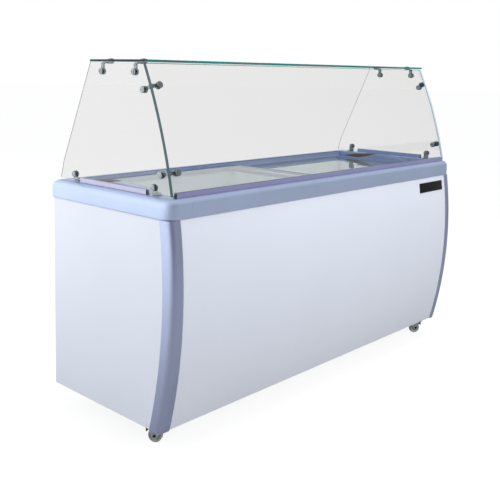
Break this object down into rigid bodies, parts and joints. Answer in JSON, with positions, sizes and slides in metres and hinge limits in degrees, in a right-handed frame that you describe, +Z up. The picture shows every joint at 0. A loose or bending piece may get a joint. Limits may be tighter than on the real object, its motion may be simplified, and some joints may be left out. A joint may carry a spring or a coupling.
{
  "type": "chest freezer",
  "caption": "White ice-cream dipping cabinet: a chest freezer with flat sliding glass lids, a glass guard with a shelf over them, blue-grey trim and swivel casters.",
  "frame": {"origin": "on the floor, under the middle of the cabinet's outside dimensions", "axes": "+X along the cabinet towards its right end as the customer sees it, -Y towards the customer (the bulging front), +Y towards the server, +Z up"},
  "size_m": [1.8, 0.6806, 1.3195],
  "materials": {
    "white_steel": "white baked enamel, slightly blue, satin gloss",
    "blue_plastic": "blue-grey moulded plastic, fine satin",
    "violet_rail": "violet-grey extruded channel, satin",
    "foam": "pale yellow foamed-in insulation, matt",
    "liner": "white coated sheet, satin",
    "glass": "clear float glass with green ground edges",
    "chrome": "polished chrome",
    "zinc": "zinc-plated steel",
    "brown": "dark red-brown moulded grip",
    "black": "black satin",
    "tyre": "grey-white hard nylon caster wheel",
    "fins": "mill-finish aluminium"
  },
  "bodies": {
    "cabinet": {"front_panel": "white_steel", "corner_post_left": "blue_plastic", "corner_post_right": "blue_plastic", "end_panel_left": "white_steel", "end_panel_right": "white_steel", "rear_panel": "white_steel", "base_pan": "zinc", "foam_insulation": "foam", "tub_liner": "liner", "rim_front": "blue_plastic", "rim_rear": "blue_plastic", "rim_left": "blue_plastic", "rim_right": "blue_plastic", "lid_track_front": "blue_plastic", "lid_track_rear": "blue_plastic", "guard_front_glass": "glass", "guard_side_glass_left": "glass", "guard_side_glass_right": "glass", "guard_top_glass": "glass", "glass_rail_front": "violet_rail", "glass_rail_left": "violet_rail", "glass_rail_right": "violet_rail", "shelf_clamp_left_rear": "chrome", "shelf_clamp_left_front": "chrome", "corner_clamp_left_upper": "chrome", "corner_clamp_left_lower": "chrome", "glass_foot_left_rear": "chrome", "glass_foot_left_front": "chrome", "shelf_clamp_right_rear": "chrome", "shelf_clamp_right_front": "chrome", "corner_clamp_right_upper": "chrome", "corner_clamp_right_lower": "chrome", "glass_foot_right_rear": "chrome", "glass_foot_right_front": "chrome", "badge_plate": "black", "compressor": "black", "condenser": "fins", "fan_shroud": "zinc", "service_grille": "blue_plastic", "cord_gland": "black", "caster_rail_left": "zinc", "caster_rail_right": "zinc"},
    "lid_left": {"lid_frame_left": "blue_plastic", "lid_pane_left": "glass", "lid_grip_left": "brown"},
    "lid_right": {"lid_frame_right": "blue_plastic", "lid_pane_right": "glass", "lid_grip_right": "brown"},
    "caster_front_left": {"caster_fork_front_left": "zinc"},
    "wheel_front_left": {"caster_wheel_front_left": "tyre"},
    "pedal_front_left": {"brake_pedal_front_left": "black"},
    "caster_front_right": {"caster_fork_front_right": "zinc"},
    "wheel_front_right": {"caster_wheel_front_right": "tyre"},
    "pedal_front_right": {"brake_pedal_front_right": "black"},
    "caster_rear_left": {"caster_fork_rear_left": "zinc"},
    "wheel_rear_left": {"caster_wheel_rear_left": "tyre"},
    "caster_rear_right": {"caster_fork_rear_right": "zinc"},
    "wheel_rear_right": {"caster_wheel_rear_right": "tyre"},
    "thermostat_knob": {"thermostat_knob": "black"},
    "fan_rotor": {"fan_rotor": "black"}
  },
  "joints": [
    {"name": "lid_left_slide", "type": "slide", "parent": "cabinet", "child": "lid_left", "axis": [1, 0, 0], "range_m": [0, 0.767]},
    {"name": "lid_right_slide", "type": "slide", "parent": "cabinet", "child": "lid_right", "axis": [1, 0, 0], "range_m": [-0.767, 0]},
    {"name": "swivel_front_left", "type": "hinge", "parent": "cabinet", "child": "caster_front_left", "pos_m": [-0.8083, -0.192, 0.07], "axis": [0, 0, 1], "continuous": true},
    {"name": "roll_front_left", "type": "hinge", "parent": "caster_front_left", "child": "wheel_front_left", "pos_m": [-0.8203, -0.17122, 0.025], "axis": [-0.866, -0.5, 0], "continuous": true},
    {"name": "pedal_front_left_press", "type": "hinge", "parent": "caster_front_left", "child": "pedal_front_left", "pos_m": [-0.8263, -0.16082, 0.0545], "axis": [-0.866, -0.5, 0], "range_deg": [0, 13]},
    {"name": "swivel_front_right", "type": "hinge", "parent": "cabinet", "child": "caster_front_right", "pos_m": [0.8083, -0.192, 0.07], "axis": [0, 0, 1], "continuous": true},
    {"name": "roll_front_right", "type": "hinge", "parent": "caster_front_right", "child": "wheel_front_right", "pos_m": [0.83005, -0.20214, 0.025], "axis": [0.4226, 0.9063, 0], "continuous": true},
    {"name": "pedal_front_right_press", "type": "hinge", "parent": "caster_front_right", "child": "pedal_front_right", "pos_m": [0.84093, -0.20721, 0.0545], "axis": [0.4226, 0.9063, 0], "range_deg": [0, 13]},
    {"name": "swivel_rear_left", "type": "hinge", "parent": "cabinet", "child": "caster_rear_left", "pos_m": [-0.735, 0.205, 0.07], "axis": [0, 0, 1], "continuous": true},
    {"name": "roll_rear_left", "type": "hinge", "parent": "caster_rear_left", "child": "wheel_rear_left", "pos_m": [-0.747, 0.22579, 0.025], "axis": [-0.866, -0.5, 0], "continuous": true},
    {"name": "swivel_rear_right", "type": "hinge", "parent": "cabinet", "child": "caster_rear_right", "pos_m": [0.735, 0.205, 0.07], "axis": [0, 0, 1], "continuous": true},
    {"name": "roll_rear_right", "type": "hinge", "parent": "caster_rear_right", "child": "wheel_rear_right", "pos_m": [0.71422, 0.217, 0.025], "axis": [-0.5, -0.866, 0], "continuous": true},
    {"name": "thermostat_turn", "type": "hinge", "parent": "cabinet", "child": "thermostat_knob", "pos_m": [0.545, 0.33, 0.34], "axis": [0, -1, 0], "range_deg": [0, 270]},
    {"name": "fan_spin", "type": "hinge", "parent": "cabinet", "child": "fan_rotor", "pos_m": [0.695, 0.241, 0.235], "axis": [0, 1, 0], "continuous": true}
  ]
}
